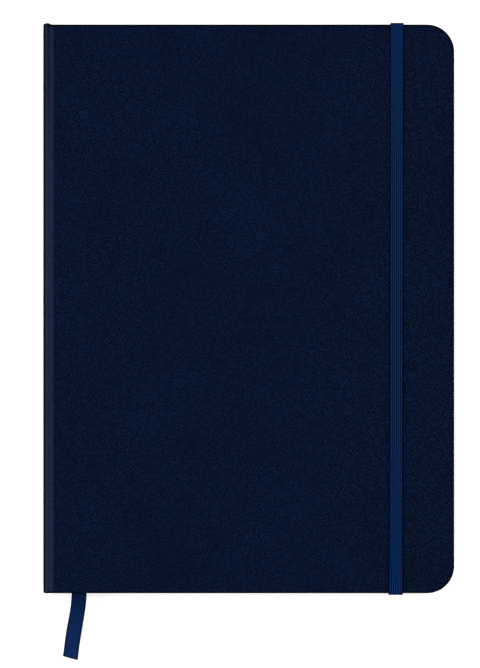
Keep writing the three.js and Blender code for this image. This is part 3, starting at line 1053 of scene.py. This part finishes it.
def makeSectionMaster(draw):
    settings = sectionSettings
    sheets = []
    for index in range(settings["sheets"]):
        halfHeight = settings["leafPitch"] * (index + 0.5)
        slip = settings["unevenness"]
        fore = sectionHigh.x - draw.uniform(0, slip)
        head = sectionHigh.y - draw.uniform(0, slip)
        tail = sectionLow.y + draw.uniform(0, slip)
        sheets.append(makeSheet(f"sheet_{index}", halfHeight, fore, head, tail))
    return joinPieces(sheets, "section_master")


def closeRoundRibbon(section, number, middle):
    # the leaves either side of the ribbon come together again beyond it
    if number not in (6, 7):
        return
    towards = -1 if number == 6 else 1
    for vert in section.data.vertices:
        facing = max(0.0, towards * (vert.co.z - middle)) / ((sectionHigh.z - sectionLow.z) / 2)
        share = smoothStep(vert.co.x, -57 * mm, -36 * mm)
        vert.co.z += towards * sectionSettings["closing"] * share * facing


def makeSections():
    draw = random.Random(sectionSettings["seed"])
    masters = [makeSectionMaster(draw) for _ in range(3)]
    for number in range(1, 13):
        node = f"section_{number:02d}"
        low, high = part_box(node)
        shift = (0, draw.uniform(-0.05, 0.05) * mm, (low.z + high.z) / 2)
        section = copyPiece(masters[number % 3], f"{node}_leaves", shift)
        closeRoundRibbon(section, number, (low.z + high.z) / 2)
        layOutFlat(section)
        smoothByAngle(section, 40)
        dress(section, pagePaper)
        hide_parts(node)
        if number <= 2:
            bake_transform(section)
        else:
            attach(section, "text_block")
    for master in masters:
        bpy.data.objects.remove(master)


makeSections()
print("sections made")

# Headbands
headbandSettings = {"winds": 36, "ridge": 0.07 * mm}


def makeHeadband(node, side):
    # a cord core wound with silk, over the ends of the folds
    low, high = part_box(node)
    radius = (high.x - low.x) / 2
    end = high.y if side > 0 else low.y
    centre = Vector(((low.x + high.x) / 2, end - side * radius, (low.z + high.z) / 2))
    deselectAll()
    bpy.ops.mesh.primitive_cylinder_add(
        vertices=24, radius=radius, depth=high.z - low.z - 0.1 * mm, location=centre)
    bead = namePiece(f"{node}_silk")
    placeInMesh(bead)
    winds = headbandSettings["winds"]
    span = (high.z - low.z) / winds
    cutAcross(bead, [low.z + span * (step + 0.5) / 2 for step in range(1, 2 * winds - 1)], (0, 0, 1))
    bpy.ops.object.mode_set(mode="OBJECT")
    for vert in bead.data.vertices:
        wave = math.cos((vert.co.z - low.z) / span * math.tau)
        out = Vector((vert.co.x - centre.x, vert.co.y - centre.y, 0))
        shrink = headbandSettings["ridge"] * (0.5 - 0.5 * wave)
        vert.co -= out.normalized() * shrink
    tidyNormals(bead)
    tongueLow = Vector((low.x + 0.02 * mm, min(end - side * 8 * mm, end - side * radius), low.z))
    tongueHigh = Vector((low.x + 0.2 * mm, max(end - side * 8 * mm, end - side * radius), high.z))
    tongue = addBlock("tongue", tongueLow, tongueHigh)
    finishWith(tongue, "BEVEL", width=0.05 * mm, segments=2)
    band = joinPieces([bead, tongue], f"{node}_silk")
    smoothByAngle(band, 60)
    dress(band, bandSilk)
    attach(band, "text_block")
    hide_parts(node)


makeHeadband("head_band", 1)
makeHeadband("tail_band", -1)
print("headbands made")

# Elastic
elasticSettings = {
    "ribPitch": 0.753 * mm,
    "ribDepth": 0.14 * mm,
    "bendRadius": 0.75 * mm,
    "slant": 0.4 * mm,
    "flare": 0.55 * mm,
    "thickness": 0.42 * mm,
    "edgeDrop": 0.05 * mm,
    "tailShift": 0.1 * mm,
}


def ribHeight(share):
    # share runs from -0.5 to 0.5 across the braid
    edge = max(0.0, abs(share) - 0.44) / 0.06
    width = elasticHigh.x - elasticLow.x
    wave = 0.5 - 0.5 * math.cos(share * width / elasticSettings["ribPitch"] * math.tau)
    return elasticSettings["ribDepth"] * (wave - 1) - elasticSettings["edgeDrop"] * edge


def layBraid(piece, centreX, width, along):
    layer = piece.data.uv_layers.active or piece.data.uv_layers.new()
    layer.name = "flat"
    for loop in piece.data.loops:
        place = piece.data.vertices[loop.vertex_index].co
        layer.data[loop.index].uv = ((place.x - centreX) / elasticSettings["ribPitch"], along(place) / mm)


def makeStrand():
    settings = elasticSettings
    width = elasticHigh.x - elasticLow.x
    centreX = (elasticLow.x + elasticHigh.x) / 2
    top = elasticHigh.z
    reach = elasticHigh.y
    radius = settings["bendRadius"]
    deselectAll()
    bpy.ops.mesh.primitive_grid_add(
        x_subdivisions=48, y_subdivisions=80, size=1, location=(centreX, 0, top))
    strand = namePiece("elastic_strand_braid")
    strand.scale = (width, 2 * (reach - radius), 1)
    placeInMesh(strand)
    flatEnd = reach - radius
    for side in (1, -1):
        pick(strand, "EDGE", lambda edge: allVerts(
            edge, lambda co: abs(co.y - side * flatEnd) < tiny and abs(co.z - top) < tiny))
        bpy.ops.mesh.spin(steps=6, angle=side * math.pi / 2, center=(centreX, side * flatEnd, top - radius),
                          axis=(1, 0, 0))
        bpy.ops.mesh.extrude_edges_move(
            TRANSFORM_OT_translate={"value": (0, 0, elasticLow.z - (top - radius))})
    tidyNormals(strand)
    faceOutwards(strand, (centreX, 0, top), (0, 0, 1))
    layBraid(strand, centreX, width, lambda place: place.y)
    normals = [vert.normal.copy() for vert in strand.data.vertices]
    for vert, normal in zip(strand.data.vertices, normals):
        share = (vert.co.x - centreX) / width
        vert.co += normal * ribHeight(share)
    finishWith(strand, "SOLIDIFY", thickness=settings["thickness"], offset=-1.0)
    for vert in strand.data.vertices:
        share = (vert.co.x - centreX) / width
        down = 0.5 - vert.co.y / (2 * reach)
        flare = max(0.0, down - 0.93) / 0.07
        vert.co.x += settings["slant"] * (0.5 - down)
        vert.co.x += settings["flare"] * flare * share - settings["tailShift"] * flare
    # painted shade on the tops of the bends at both ends of the strand, fading out down the hooks
    paintShade(strand, lambda co: -smoothStep(abs(co.y), reach - 0.62 * mm, reach - 0.40 * mm)
               * smoothStep(co.z, elasticLow.z + 1.2 * mm, top - 0.4 * mm))
    smoothByAngle(strand, 50)
    dress(strand, elasticBraid)
    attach(strand, "elastic_band")
    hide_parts("elastic_strand")


def makeLeg(end, side):
    settings = elasticSettings
    low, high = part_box(f"elastic_{end}_leg")
    width = high.x - low.x
    centreX = (low.x + high.x) / 2
    outer = high.y if side > 0 else low.y
    topZ = elasticLow.z + 0.15 * mm
    leg = addPlane(f"elastic_{end}_leg_braid", (centreX, 0, 0), width, topZ - low.z)
    makeActive(leg)
    leg.rotation_euler = (math.pi / 2, 0, 0)
    leg.location = (0, outer, (topZ + low.z) / 2)
    placeInMesh(leg)
    cutAcross(leg, [centreX + width * (step / 48 - 0.5) for step in range(1, 48)])
    tidyNormals(leg)
    faceOutwards(leg, (centreX, outer, bookMiddle), (0, side, 0))
    for vert in leg.data.vertices:
        vert.co.y += side * ribHeight((vert.co.x - centreX) / width)
    finishWith(leg, "SOLIDIFY", thickness=settings["thickness"], offset=-1.0)
    layBraid(leg, centreX, width, lambda place: place.z)
    for vert in leg.data.vertices:
        share = (vert.co.x - centreX) / width
        extra = settings["flare"] if side < 0 else 0
        shift = settings["tailShift"] if side < 0 else 0
        vert.co.x += side * settings["slant"] / 2 + extra * share - shift
    paintShade(leg, lambda co: 0.0)
    smoothByAngle(leg, 50)
    dress(leg, elasticBraid)
    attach(leg, "back_cover")
    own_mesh(leg)
    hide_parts(f"elastic_{end}_leg")


makeStrand()
makeLeg("head", 1)
makeLeg("tail", -1)
print("elastic made")

# Finishes on the pieces kept from the frame
keptFinishes = {
    "front_board": greyBoard,
    "back_board": greyBoard,
    "spine_inlay": greyBoard,
    "spine_mull": mullCloth,
    "spine_liner": kraftPaper,
}
for number in range(1, 6):
    keptFinishes[f"sewing_thread_{number}"] = linenThread
for node, finish in keptFinishes.items():
    dress(nodes[node], finish)

anchorBraid = makeWeave("anchor braid", elasticFinish["bright"], elasticFinish["dark"], 0.5 * mm, 0.05 * mm)
for node in ("elastic_head_anchor", "elastic_tail_anchor"):
    dress(nodes[node], anchorBraid)
print("kept pieces finished")

deselectAll()
